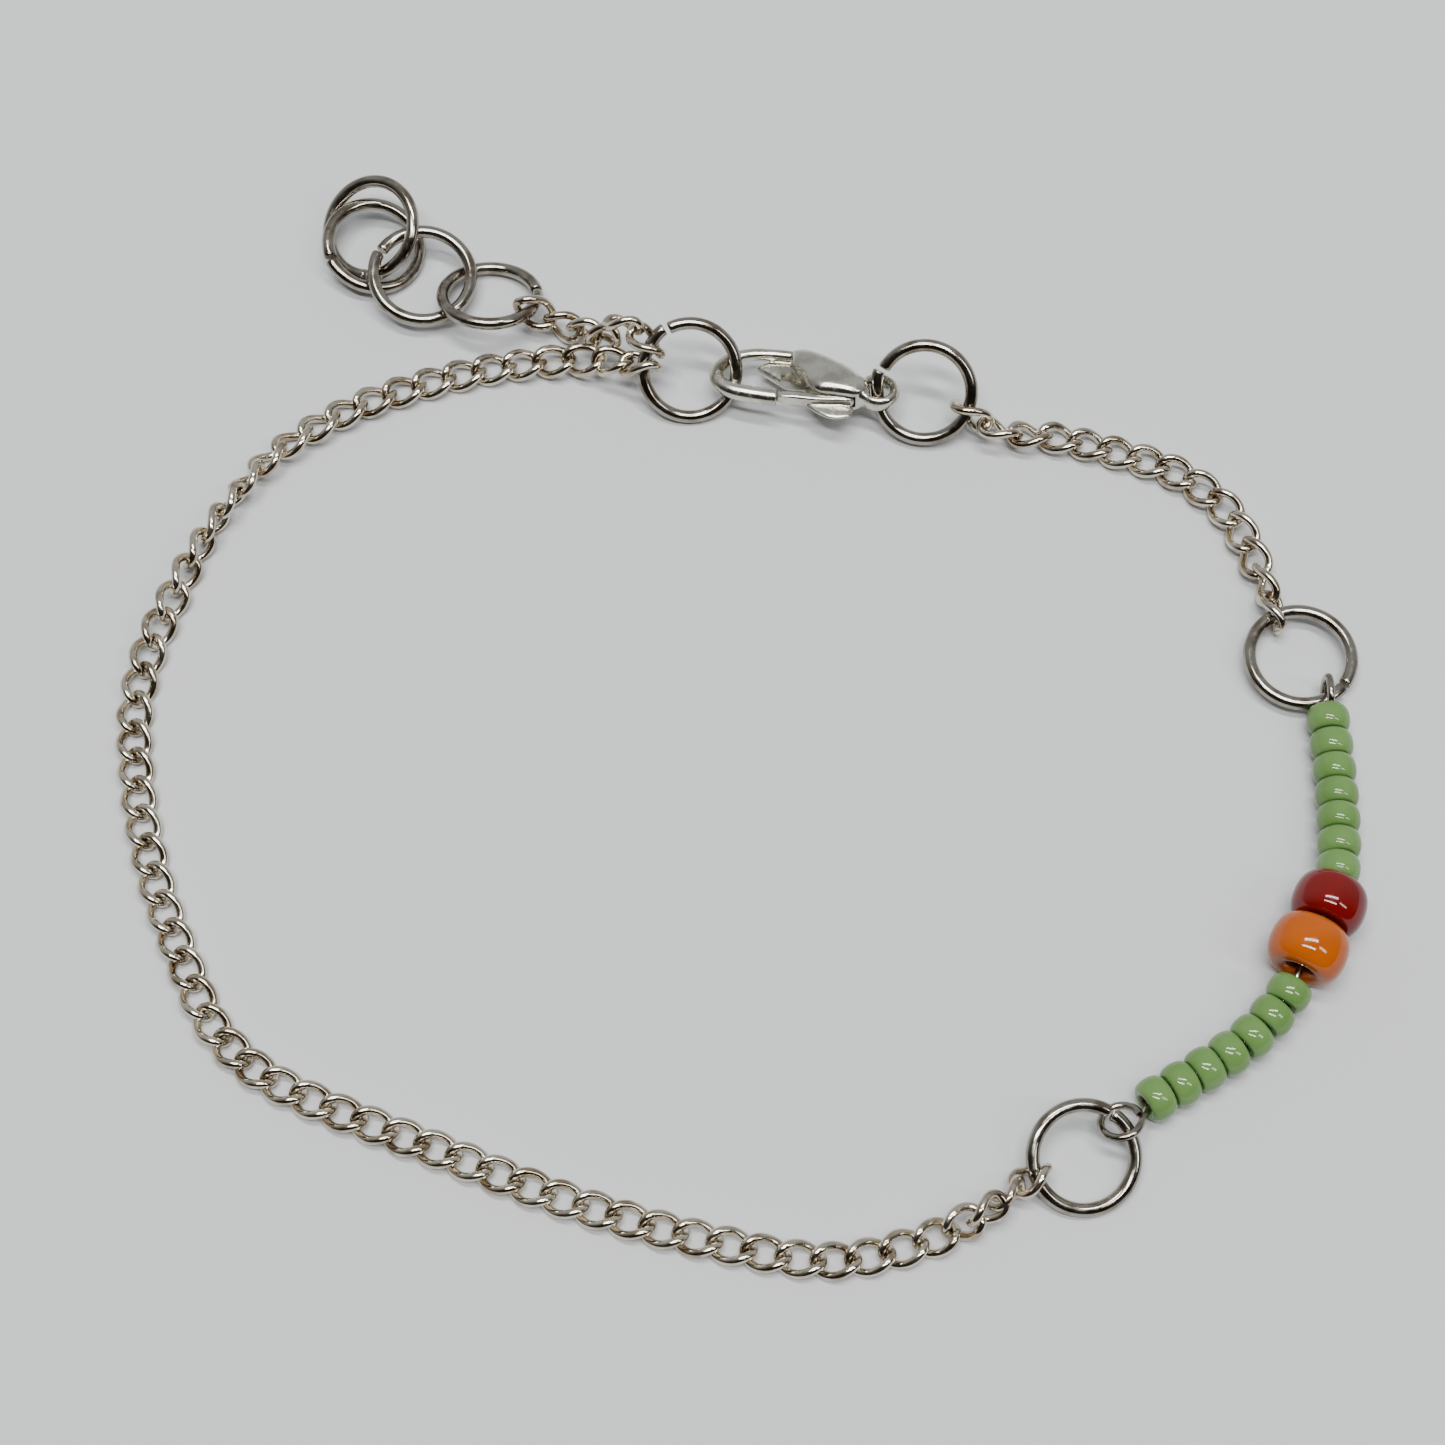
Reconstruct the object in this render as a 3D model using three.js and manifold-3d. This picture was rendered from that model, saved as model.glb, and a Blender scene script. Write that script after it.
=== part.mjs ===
// A seed bead bracelet lying closed on a table: curb chain, jump rings, a lobster clasp,
// a short extender chain with four end rings, and sixteen glass beads on a wire.
// Millimetres, +Z up. The table is the plane z = 0. +X is to the right and +Y away from the wearer's side.

import * as THREE from 'three';
import { mergeVertices } from 'three/addons/utils/BufferGeometryUtils.js';
import Module from 'manifold-3d';

const wasm = await Module();
wasm.setup();

const DEG = Math.PI / 180;

// Curb chain: every link is an oval of wire whose two ends are twisted apart by a quarter turn.
const CHAIN_WIRE = 0.48;
const LINK_BITE = 0.256;
const LINK_HALF_WIDTH = 0.75;
const LINK_TWIST = -45 * DEG;
const LINK_STEPS = 10;
const LINK_SIDES = 5;
// An end link reaches past the ring that it grips by this much less than its own half length.
const GRIP_INSET = 0.26;
// An end link is rolled so that the part of it beside the ring wire, twisted this much, stands square to it.
const GRIP_TWIST = -28 * DEG;

// Jump rings, bent by hand, so each has a diameter of its own. The cut ends stand a little apart.
const RING_WIRE = 0.70;
const RING_CUT = 0.30;
const RING_STEPS = 14;
const RING_SIDES = 5;

// Bead wire with an eye loop at each end.
const BEAD_WIRE = 0.40;
const BEAD_WIRE_STEPS = 56;
const BEAD_WIRE_SIDES = 5;
const LOOP_TURN = 320 * DEG;
const LOOP_POINTS = 8;

// Glass beads: small green ones, and one red and one orange of a larger size.
const GREEN_BEAD = { diameter: 2.25, length: 1.34, hole: 0.80, segments: 10, end: 0.74, waist: 0 };
const RED_BEAD = { diameter: 3.85, length: 2.60, hole: 1.10, segments: 12, end: 0.58, waist: 0.42 };
const ORANGE_BEAD = { diameter: 4.05, length: 2.66, hole: 1.10, segments: 12, end: 0.58, waist: 0.42 };
// Distances along the wire from the middle of one bead to the middle of the next.
const GREEN_PITCH = 1.45;
const GREEN_TO_ORANGE = 2.52;
const ORANGE_TO_RED = 2.80;
const RED_TO_GREEN = 2.03;
const GREEN_BEADS_A_SIDE = 7;

// Lobster clasp, in its own plane: u runs from the hook to the eye, v across, w through its thickness.
const CLASP = { place: [4.52, 19.45, 1.85], yaw: -7, roll: -10, pitch: -1.6 };
const HOOK_SECTION = { halfWidth: 0.42, halfHeight: 0.45, sides: 6 };
const HOOK_STEPS = 14;
const HOOK_PATH = [
  [0.3, 1.75], [-0.5, 2.08], [-1.4, 2.16], [-2.3, 2.15], [-3.2, 2.03], [-4.0, 1.70], [-4.6, 1.20], [-4.9, 0.55],
  [-4.85, -0.10], [-4.45, -0.55], [-3.8, -0.78], [-2.9, -0.90], [-1.5, -1.00],
];
const SHELL_OUTLINE = [
  [-0.9, 2.25], [-0.3, 2.35], [0.3, 2.10], [1.1, 1.80], [2.1, 1.30], [3.0, 0.65], [3.35, 0.35],
  [3.35, -0.30], [2.85, -0.75], [1.4, -0.80], [0.65, -0.72], [0.2, -0.25], [-0.2, 0.45], [-0.9, 1.35],
];
const SHELL_HEIGHT = 2.0;
const SHELL_BEVEL = 0.40;
const EYE = { u: 4.0, v: 0.0, radius: 0.95, halfWidth: 0.28, halfHeight: 0.42, sides: 6, steps: 12 };
const PIN = { u: 2.15, v: -0.45, diameter: 0.50, hole: 0.62, length: 1.96, sides: 10 };
const LEVER_THICKNESS = 0.72;
const LEVER_SLOT = 0.90;
const LEVER_OUTLINE = [
  [-1.40, -1.20], [-1.36, -0.80], [0.2, -0.72], [1.55, -0.62], [1.75, -0.10], [2.15, 0.02], [2.55, -0.12],
  [2.68, -0.50], [2.60, -1.00], [2.75, -1.35], [2.60, -1.80], [2.15, -2.00], [1.50, -2.02], [0.80, -1.75],
  [0.15, -1.28],
];

// Jump rings: the centre, the mean diameter, how far the far side leans up, how far the right side
// swings down, and where round the ring its cut is, all in degrees and millimetres.
const RINGS = [
  { name: 'ring_clasp_left', at: [-1.77, 20.46, 1.95], mean: 5.08, lean: 38.6, swing: 4.3, cut: 122 },
  { name: 'ring_clasp_right', at: [10.93, 18.86, 2.22], mean: 5.09, lean: 40.4, swing: -8.5, cut: 147 },
  { name: 'ring_bead_top', at: [30.18, 3.34, 0.95], mean: 5.32, lean: 3, swing: 0, cut: -38 },
  { name: 'ring_bead_bottom', at: [17.39, -24.03, 1.32], mean: 5.02, lean: 21.9, swing: 5.9, cut: 60 },
  { name: 'ring_extender_1', at: [-12.88, 25.72, 1.37], mean: 5.23, lean: -19.8, swing: 1.6, cut: 9 },
  { name: 'ring_extender_2', at: [-16.65, 26.98, 1.50], mean: 5.38, lean: 9.4, swing: 5.6, cut: 152 },
  { name: 'ring_extender_3', at: [-19.64, 29.91, 1.86], mean: 5.31, lean: 20.4, swing: -24.0, cut: 258 },
  { name: 'ring_extender_4', at: [-19.49, 29.23, 1.13], mean: 5.13, lean: 9.4, swing: 13.5, cut: 206 },
];

// Chains: the ring and the place round it that each end grips, the number of links, and the centres
// of some of the links: the link's number, its x, y and z, and its roll about the chain's line.
const CHAINS = [
  {
    name: 'chain_long',
    links: 62,
    from: { ring: 'ring_clasp_left', at: 176 },
    to: { ring: 'ring_bead_bottom', at: 202 },
    through: [
      [2, -7.6, 21.7, 1.05, -20], [4, -10.9, 21.7, 0.60, 0], [6, -14.2, 21.1, 0.50, 0], [9, -19.0, 19.4, 0.57, 5],
      [11, -21.9, 17.7, 0.71, 18], [13, -24.5, 15.5, 0.83, 40], [15, -26.4, 12.8, 0.96, 70],
      [17, -27.9, 9.8, 0.98, 100], [19, -29.1, 6.7, 0.88, 135], [21, -30.1, 3.6, 0.69, 162],
      [23, -30.5, 0.3, 0.50, 180], [26, -29.9, -4.6, 0.50, 180], [29, -28.6, -9.4, 0.50, 180],
      [32, -26.7, -14.0, 0.50, 180], [34, -25.2, -17.0, 0.50, 180], [36, -22.9, -19.3, 0.50, 180],
      [38, -20.0, -20.9, 0.50, 180], [42, -13.8, -23.4, 0.50, 180], [46, -7.6, -25.9, 0.50, 180],
      [50, -1.2, -27.8, 0.50, 180], [54, 5.4, -28.9, 0.50, 180], [57, 10.2, -27.8, 0.66, 192],
      [58, 11.5, -27.2, 0.95, 218], [59, 12.6, -26.8, 1.65, 250], [60, 13.6, -25.8, 1.10, 285],
    ],
  },
  {
    name: 'chain_short',
    links: 14,
    from: { ring: 'ring_clasp_right', at: -30 },
    to: { ring: 'ring_bead_top', at: 115 },
    through: [
      [1, 15.0, 17.1, 1.15, -42], [3, 18.3, 16.9, 0.63, -6], [5, 21.5, 16.0, 0.55, 0], [7, 24.5, 14.7, 0.64, 10],
      [9, 26.9, 12.4, 0.78, 28], [11, 28.2, 9.3, 0.90, 45],
    ],
  },
  {
    name: 'chain_extender',
    links: 6,
    from: { ring: 'ring_clasp_left', at: 150 },
    to: { ring: 'ring_extender_1', at: -28 },
    through: [
      [1, -5.4, 22.5, 3.35, 55], [2, -6.5, 22.5, 2.20, 72], [3, -7.5, 23.3, 1.50, 88], [4, -8.8, 24.0, 1.00, 108],
    ],
  },
];

// The bead wire from the bottom ring round to the top one, between its two eye loops.
const BOTTOM_LOOP = { at: [19.22, -22.35, 1.70], mean: 1.97, lean: -19.8, swing: -14.1, start: 20 };
const TOP_LOOP = { at: [31.35, 1.02, 1.15], mean: 1.90, lean: 0, swing: 90, start: -58 };
const WIRE_ROUTE = [
  [21.05, -21.0, 1.16], [23.7, -19.4, 1.20], [25.95, -17.85, 1.40], [27.8, -15.8, 1.72], [29.0, -13.4, 2.04],
  [30.2, -11.1, 2.04], [30.85, -9.2, 1.78], [31.2, -6.2, 1.45], [31.3, -3.3, 1.22], [31.25, -0.35, 1.15],
];
// How far along the bead row, counted from its lower end, the first green bead's middle sits.
const FIRST_BEAD = 0.02;

// The plan above is measured from the middle of the picture; the part's origin is the middle of its outline.
const ORIGIN = { x: 0.84, y: 1.377 };

const METALS = {
  chain: { color: 0xb9b1a2, roughness: 0.28, metalness: 1 },
  ring: { color: 0x7d7870, roughness: 0.25, metalness: 1 },
  clasp: { color: 0xd2cfc6, roughness: 0.32, metalness: 1 },
};
const GLASS = {
  green: { color: 0x86c266, roughness: 0.12, metalness: 0 },
  red: { color: 0xa8140d, roughness: 0.10, metalness: 0 },
  orange: { color: 0xf07c0a, roughness: 0.10, metalness: 0 },
};

const bracelet = new THREE.Group();
bracelet.position.set(-ORIGIN.x, -ORIGIN.y, 0);

function addPiece(parent, name, geometry, look) {
  const mesh = new THREE.Mesh(geometry, new THREE.MeshStandardMaterial(look));
  mesh.name = name;
  parent.add(mesh);
  return mesh;
}

// A regular outline for a round wire, with a corner on its own radius; halfHeight makes it an oval.
function wireSection(halfWidth, sides, halfHeight = halfWidth) {
  const corners = [];
  for (let i = 0; i < sides; i += 1) {
    const angle = (2 * Math.PI * i) / sides;
    corners.push(new THREE.Vector2(halfWidth * Math.cos(angle), halfHeight * Math.sin(angle)));
  }
  return new THREE.Shape(corners);
}

function shapeFrom(rows) {
  return new THREE.Shape(rows.map(([u, v]) => new THREE.Vector2(u, v)));
}

function openWire(curve, diameter, sides, steps) {
  return new THREE.ExtrudeGeometry(wireSection(diameter / 2, sides), { steps, extrudePath: curve });
}

function toSolid(geometry) {
  const bare = geometry.clone();
  bare.deleteAttribute('normal');
  bare.deleteAttribute('uv');
  const merged = mergeVertices(bare, 1e-4);
  return new wasm.Manifold(new wasm.Mesh({
    numProp: 3,
    vertProperties: merged.attributes.position.array,
    triVerts: merged.index.array,
  }));
}

function toGeometry(solid) {
  const mesh = solid.getMesh();
  const geometry = new THREE.BufferGeometry();
  geometry.setAttribute('position', new THREE.BufferAttribute(mesh.vertProperties, 3));
  geometry.setIndex(new THREE.BufferAttribute(mesh.triVerts, 1));
  geometry.computeVertexNormals();
  return geometry;
}

// The frame of a tilted circle: lean turns it about x, then swing about y.
function circleFrame({ at, lean, swing }) {
  const turn = new THREE.Euler(lean * DEG, swing * DEG, 0, 'YXZ');
  return new THREE.Matrix4().makeRotationFromEuler(turn).setPosition(...at);
}

function circlePoint(circle, degrees) {
  const local = new THREE.Vector3(Math.cos(degrees * DEG), Math.sin(degrees * DEG), 0);
  return local.multiplyScalar(circle.mean / 2).applyMatrix4(circleFrame(circle));
}

function circleTangent(circle, degrees) {
  const local = new THREE.Vector3(-Math.sin(degrees * DEG), Math.cos(degrees * DEG), 0);
  return local.transformDirection(circleFrame(circle));
}

// A jump ring: wire bent round a circle from one side of its cut to the other.
class RingCurve extends THREE.Curve {
  constructor(ring) {
    super();
    this.ring = ring;
    this.cutAngle = (RING_CUT / ring.mean) / DEG * 2;
  }

  getPoint(t, target = new THREE.Vector3()) {
    const angle = this.ring.cut + this.cutAngle / 2 + t * (360 - this.cutAngle);
    return target.copy(circlePoint(this.ring, angle));
  }
}

// One curb link: an oval in the link's plane, which turns about the chain's line from -twist at its
// near end to +twist at its far end, so that it crosses the next link at a right angle.
class LinkCurve extends THREE.Curve {
  constructor(frame, halfLength) {
    super();
    this.frame = frame;
    this.halfLength = halfLength;
  }

  getPoint(t, target = new THREE.Vector3()) {
    const angle = 2 * Math.PI * (t + 0.5 / LINK_STEPS);
    const plane = LINK_TWIST * Math.cos(angle);
    const across = LINK_HALF_WIDTH * Math.sin(angle);
    target.set(this.halfLength * Math.cos(angle), across * Math.cos(plane), across * Math.sin(plane));
    return target.applyMatrix4(this.frame);
  }
}

// The level direction across the chain, and the direction square to it and to the chain.
function levelAxes(tangent) {
  const side = new THREE.Vector3(0, 0, 1).cross(tangent).normalize();
  return { side, up: tangent.clone().cross(side) };
}

// The roll that stands an end link's outer end square across the ring wire that it grips. A link looks
// the same after half a turn, so the answer nearest to the roll beside it is taken.
function gripRoll(tangent, ringTangent, endTwist, besideDegrees) {
  const { side, up } = levelAxes(tangent);
  const plane = Math.atan2(-side.dot(ringTangent), up.dot(ringTangent)) / DEG;
  const roll = plane - endTwist / DEG;
  return roll + 180 * Math.round((besideDegrees - roll) / 180);
}

// The rows run from the first grip, through the numbered links, to the last grip. The end links sit
// a set way in from their grips, and the links between two rows are spread evenly along the line.
function linkFrames(chain) {
  const ringNamed = (name) => RINGS.find((ring) => ring.name === name);
  const fromRing = ringNamed(chain.from.ring);
  const toRing = ringNamed(chain.to.ring);
  const points = [
    circlePoint(fromRing, chain.from.at),
    ...chain.through.map(([, x, y, z]) => new THREE.Vector3(x, y, z)),
    circlePoint(toRing, chain.to.at),
  ];
  const curve = new THREE.CatmullRomCurve3(points, false, 'centripetal');
  curve.arcLengthDivisions = 100 * (points.length - 1);
  const lengths = curve.getLengths();
  const knots = points.map((_, i) => lengths[100 * i]);
  const numbers = [0, ...chain.through.map(([number]) => number), chain.links - 1];
  knots[0] += GRIP_INSET;
  knots[knots.length - 1] -= GRIP_INSET;
  const rolls = chain.through.map((row) => row[4]);
  rolls.unshift(gripRoll(curve.getTangentAt(0), circleTangent(fromRing, chain.from.at), -GRIP_TWIST, rolls[0]));
  rolls.push(gripRoll(curve.getTangentAt(1), circleTangent(toRing, chain.to.at), GRIP_TWIST, rolls.at(-1)));
  const frames = [];
  for (let link = 0; link < chain.links; link += 1) {
    const row = Math.max(0, numbers.findIndex((number) => number >= link) - 1);
    const share = (link - numbers[row]) / (numbers[row + 1] - numbers[row]);
    const u = THREE.MathUtils.lerp(knots[row], knots[row + 1], share) / lengths.at(-1);
    const roll = THREE.MathUtils.lerp(rolls[row], rolls[row + 1], share) * DEG;
    const tangent = curve.getTangentAt(u);
    const { side, up } = levelAxes(tangent);
    const across = side.clone().multiplyScalar(Math.cos(roll)).addScaledVector(up, Math.sin(roll));
    const frame = new THREE.Matrix4().makeBasis(tangent, across, tangent.clone().cross(across));
    frames.push(frame.setPosition(curve.getPointAt(u)));
  }
  return frames;
}

// Each link is as long as the spacing round it asks for, so that neighbours bite into each other by a
// hair and the whole chain is one body.
function chainGeometry(chain) {
  const frames = linkFrames(chain);
  const centres = frames.map((frame) => new THREE.Vector3().setFromMatrixPosition(frame));
  const gaps = centres.slice(1).map((centre, i) => centre.distanceTo(centres[i]));
  let whole = null;
  frames.forEach((frame, i) => {
    const before = gaps[Math.max(i - 1, 0)];
    const after = gaps[Math.min(i, gaps.length - 1)];
    const curve = new LinkCurve(frame, (before + after) / 4 + LINK_BITE);
    const link = toSolid(new THREE.TubeGeometry(curve, LINK_STEPS, CHAIN_WIRE / 2, LINK_SIDES, true));
    whole = whole ? whole.add(link) : link;
  });
  return toGeometry(whole);
}

function addChains() {
  for (const chain of CHAINS) {
    addPiece(bracelet, chain.name, chainGeometry(chain), METALS.chain);
  }
}

function addRings() {
  for (const ring of RINGS) {
    addPiece(bracelet, ring.name, openWire(new RingCurve(ring), RING_WIRE, RING_SIDES, RING_STEPS), METALS.ring);
  }
}

// Points round an eye loop, from its free end to where the wire leaves for the beads.
function loopPoints(loop) {
  const points = [];
  for (let i = 0; i < LOOP_POINTS; i += 1) {
    const angle = loop.start + (LOOP_TURN / DEG) * (i / (LOOP_POINTS - 1));
    points.push(circlePoint(loop, angle));
  }
  return points;
}

function wireRow() {
  const points = WIRE_ROUTE.map((row) => new THREE.Vector3(...row));
  return new THREE.CatmullRomCurve3(points, false, 'centripetal');
}

function addBeadWire() {
  const row = WIRE_ROUTE.map((point) => new THREE.Vector3(...point));
  const points = [...loopPoints(BOTTOM_LOOP), ...row, ...loopPoints(TOP_LOOP).reverse()];
  const curve = new THREE.CatmullRomCurve3(points, false, 'centripetal');
  addPiece(bracelet, 'bead_wire', openWire(curve, BEAD_WIRE, BEAD_WIRE_SIDES, BEAD_WIRE_STEPS), METALS.ring);
}

// A drawn-glass bead, turned about its own hole. Its ends are narrower than its middle by the factor
// "end", and "waist" is the share of its length that runs straight round the middle.
function beadGeometry({ diameter, length, hole, segments, end, waist }) {
  const radius = diameter / 2;
  const half = length / 2;
  const middle = waist > 0 ? [[0.98 * radius, -waist * half], [0.98 * radius, waist * half]] : [[radius, 0]];
  const profile = [
    [hole / 2, 0.8 * half], [hole / 2, -0.8 * half], [end * radius, -half], ...middle, [end * radius, half],
    [hole / 2, 0.8 * half],
  ];
  return new THREE.LatheGeometry(profile.map(([x, y]) => new THREE.Vector2(x, y)), segments);
}

// The beads in order from the lower end of the wire, each with its distance along the row.
function beadOrder() {
  const beads = [];
  let along = FIRST_BEAD;
  const add = (name, size, glass, step) => {
    beads.push({ name, size, glass, along });
    along += step;
  };
  for (let i = 1; i <= GREEN_BEADS_A_SIDE; i += 1) {
    const step = i < GREEN_BEADS_A_SIDE ? GREEN_PITCH : GREEN_TO_ORANGE;
    add(`bead_green_lower_${i}`, GREEN_BEAD, 'green', step);
  }
  add('bead_orange', ORANGE_BEAD, 'orange', ORANGE_TO_RED);
  add('bead_red', RED_BEAD, 'red', RED_TO_GREEN);
  for (let i = GREEN_BEADS_A_SIDE; i >= 1; i -= 1) {
    add(`bead_green_upper_${i}`, GREEN_BEAD, 'green', GREEN_PITCH);
  }
  return beads;
}

function addBeads() {
  const row = wireRow();
  const length = row.getLength();
  for (const bead of beadOrder()) {
    const mesh = addPiece(bracelet, bead.name, beadGeometry(bead.size), GLASS[bead.glass]);
    mesh.position.copy(row.getPointAt(bead.along / length));
    mesh.quaternion.setFromUnitVectors(new THREE.Vector3(0, 1, 0), row.getTangentAt(bead.along / length));
  }
}

function addClasp() {
  const clasp = new THREE.Group();
  clasp.position.set(...CLASP.place);
  clasp.rotation.set(CLASP.roll * DEG, CLASP.pitch * DEG, CLASP.yaw * DEG, 'ZYX');
  bracelet.add(clasp);
  addPiece(clasp, 'clasp_body', claspBody(), METALS.clasp);
  addPiece(clasp, 'clasp_lever', claspLever(), METALS.clasp);
  const pin = addPiece(clasp, 'clasp_pin', pinGeometry(PIN.diameter, PIN.length), METALS.clasp);
  pin.position.set(PIN.u, PIN.v, 0);
}

function pinGeometry(diameter, length) {
  return new THREE.CylinderGeometry(diameter / 2, diameter / 2, length, PIN.sides).rotateX(90 * DEG);
}

// A plate with the given outline in the clasp's plane, centred on that plane.
function plate(rows, thickness, bevel = 0) {
  const geometry = new THREE.ExtrudeGeometry(shapeFrom(rows), {
    depth: thickness - 2 * bevel,
    bevelEnabled: bevel > 0,
    bevelThickness: bevel,
    bevelSize: bevel,
    bevelOffset: -bevel,
    bevelSegments: bevel > 0 ? 2 : 1,
    curveSegments: 1,
  });
  return geometry.translate(0, 0, -(thickness - 2 * bevel) / 2);
}

// The cast body: hook, domed shell and eye in one, slotted for the lever and drilled for its pin.
function claspBody() {
  const hookCurve = new THREE.CatmullRomCurve3(HOOK_PATH.map(([u, v]) => new THREE.Vector3(u, v, 0)));
  const section = wireSection(HOOK_SECTION.halfHeight, HOOK_SECTION.sides, HOOK_SECTION.halfWidth);
  const hook = new THREE.ExtrudeGeometry(section, { steps: HOOK_STEPS, extrudePath: hookCurve });
  const shell = plate(SHELL_OUTLINE, SHELL_HEIGHT, SHELL_BEVEL);
  const eye = new THREE.TorusGeometry(EYE.radius, EYE.halfWidth, EYE.sides, EYE.steps);
  eye.scale(1, 1, EYE.halfHeight / EYE.halfWidth).translate(EYE.u, EYE.v, 0);
  const slot = plate([[-1.3, -3], [3.05, -3], [3.05, 0.25], [1.2, 0.75], [-1.3, 0.75]], LEVER_SLOT);
  const bore = pinGeometry(PIN.hole, SHELL_HEIGHT + 1).translate(PIN.u, PIN.v, 0);
  const slotted = toSolid(shell).subtract(toSolid(slot)).subtract(toSolid(bore));
  return toGeometry(slotted.add(toSolid(hook)).add(toSolid(eye)));
}

// The sprung lever: a gate strip that closes the hook, a boss round the pin, and a thumb tab.
function claspLever() {
  const bore = pinGeometry(PIN.hole + 0.06, LEVER_THICKNESS + 1).translate(PIN.u, PIN.v, 0);
  return toGeometry(toSolid(plate(LEVER_OUTLINE, LEVER_THICKNESS)).subtract(toSolid(bore)));
}

addRings();
addChains();
addBeadWire();
addBeads();
addClasp();

export default bracelet;
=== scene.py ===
"""A seed bead bracelet lying closed on a pale table: curb chain, jump rings, lobster clasp, glass beads.

Shapes are worked out in millimetres on a plan whose middle is PLAN_MIDDLE away from the part's origin.
`to_metres` puts them into the part's frame, where x runs right, y away from the viewer and z up from
the table. A surface is a pair: vertices as rows of x, y and z, and faces as lists of vertex numbers.
"""

import bpy
import numpy as np
from mathutils import Matrix


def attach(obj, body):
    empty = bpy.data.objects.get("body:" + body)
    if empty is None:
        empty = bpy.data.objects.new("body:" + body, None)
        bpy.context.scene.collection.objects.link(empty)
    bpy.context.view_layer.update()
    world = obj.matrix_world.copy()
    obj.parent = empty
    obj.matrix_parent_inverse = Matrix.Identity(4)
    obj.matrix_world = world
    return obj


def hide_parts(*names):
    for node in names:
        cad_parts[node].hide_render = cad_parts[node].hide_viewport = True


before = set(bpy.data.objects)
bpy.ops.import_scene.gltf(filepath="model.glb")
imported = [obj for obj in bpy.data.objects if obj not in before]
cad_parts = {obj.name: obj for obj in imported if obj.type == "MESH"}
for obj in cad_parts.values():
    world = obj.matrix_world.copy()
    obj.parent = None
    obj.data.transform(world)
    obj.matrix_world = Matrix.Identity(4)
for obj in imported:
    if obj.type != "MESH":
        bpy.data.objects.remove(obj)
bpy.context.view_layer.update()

PLAN_MIDDLE = np.array([0.84, 1.377, 0.0])
MM = 0.001
UPWARDS = np.array([0.0, 0.0, 1.0])

# Curb chain
LINK_WIRE = 0.46
LINK_HALF_WIDTH = 0.75
LINK_SQUARENESS = 0.9
LINK_TWIST = -45.0
LINK_PLAY = 0.01
GRIP_INSET = 0.26
GRIP_TWIST = -28.0

# Jump rings and the bead wire
RING_WIRE = 0.70
RING_CUT = 0.22
CUT_BEVEL = 0.05
CUT_BEVEL_LENGTH = 0.06
CUT_SPRING_DEGREES = 30
BEAD_WIRE = 0.40
LOOP_TURN = 320.0

# Glass beads: diameter, length and hole, and how full the rounding of the outside is
GREEN_BEAD = {"diameter": 2.25, "length": 1.36, "hole": 0.80, "fullness": 2.15}
RED_BEAD = {"diameter": 3.74, "length": 2.48, "hole": 1.10, "fullness": 2.15}
ORANGE_BEAD = {"diameter": 3.98, "length": 2.66, "hole": 1.16, "fullness": 2.10}
HOLE_FULLNESS = 5.0
GREEN_PITCH = 1.45
GREEN_TO_ORANGE = 2.52
ORANGE_TO_RED = 2.66
RED_TO_GREEN = 2.17
GREEN_BEADS_A_SIDE = 7
FIRST_BEAD = 0.02

# Painted shade on every bead's hole walls, and real residue round the hole of one bead
HOLE_SHADE_RIM = 0.10
RESIDUE_BEAD = "bead_green_lower_1"
RESIDUE_SPREAD = 0.16
RESIDUE_STRENGTH = 0.8

# Rings: centre, mean diameter, lean of the far side, swing of the right side, place of the cut, and how
# far one cut end springs outwards past the other
RING_COLUMNS = ("at", "mean", "lean", "swing", "cut", "step")
RING_ROWS = {
    "ring_clasp_left": ((-1.77, 20.46, 1.95), 5.08, 38.6, 4.3, 122, 0.10),
    "ring_clasp_right": ((10.93, 18.86, 2.22), 5.09, 40.4, -8.5, 147, 0.16),
    "ring_bead_top": ((30.18, 3.34, 0.95), 5.32, 3.0, 0.0, -38, 0.0),
    "ring_bead_bottom": ((17.39, -24.03, 1.32), 5.02, 21.9, 5.9, 60, 0.0),
    "ring_extender_1": ((-12.88, 25.72, 1.37), 5.23, -19.8, 1.6, 9, 0.0),
    "ring_extender_2": ((-16.65, 26.98, 1.50), 5.38, 9.4, 5.6, 152, 0.06),
    "ring_extender_3": ((-19.64, 29.91, 1.86), 5.31, 20.4, -24.0, 258, 0.05),
    "ring_extender_4": ((-19.49, 29.23, 1.13), 5.13, 9.4, 13.5, 206, 0.04),
}
RINGS = {name: dict(zip(RING_COLUMNS, row)) for name, row in RING_ROWS.items()}

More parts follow.
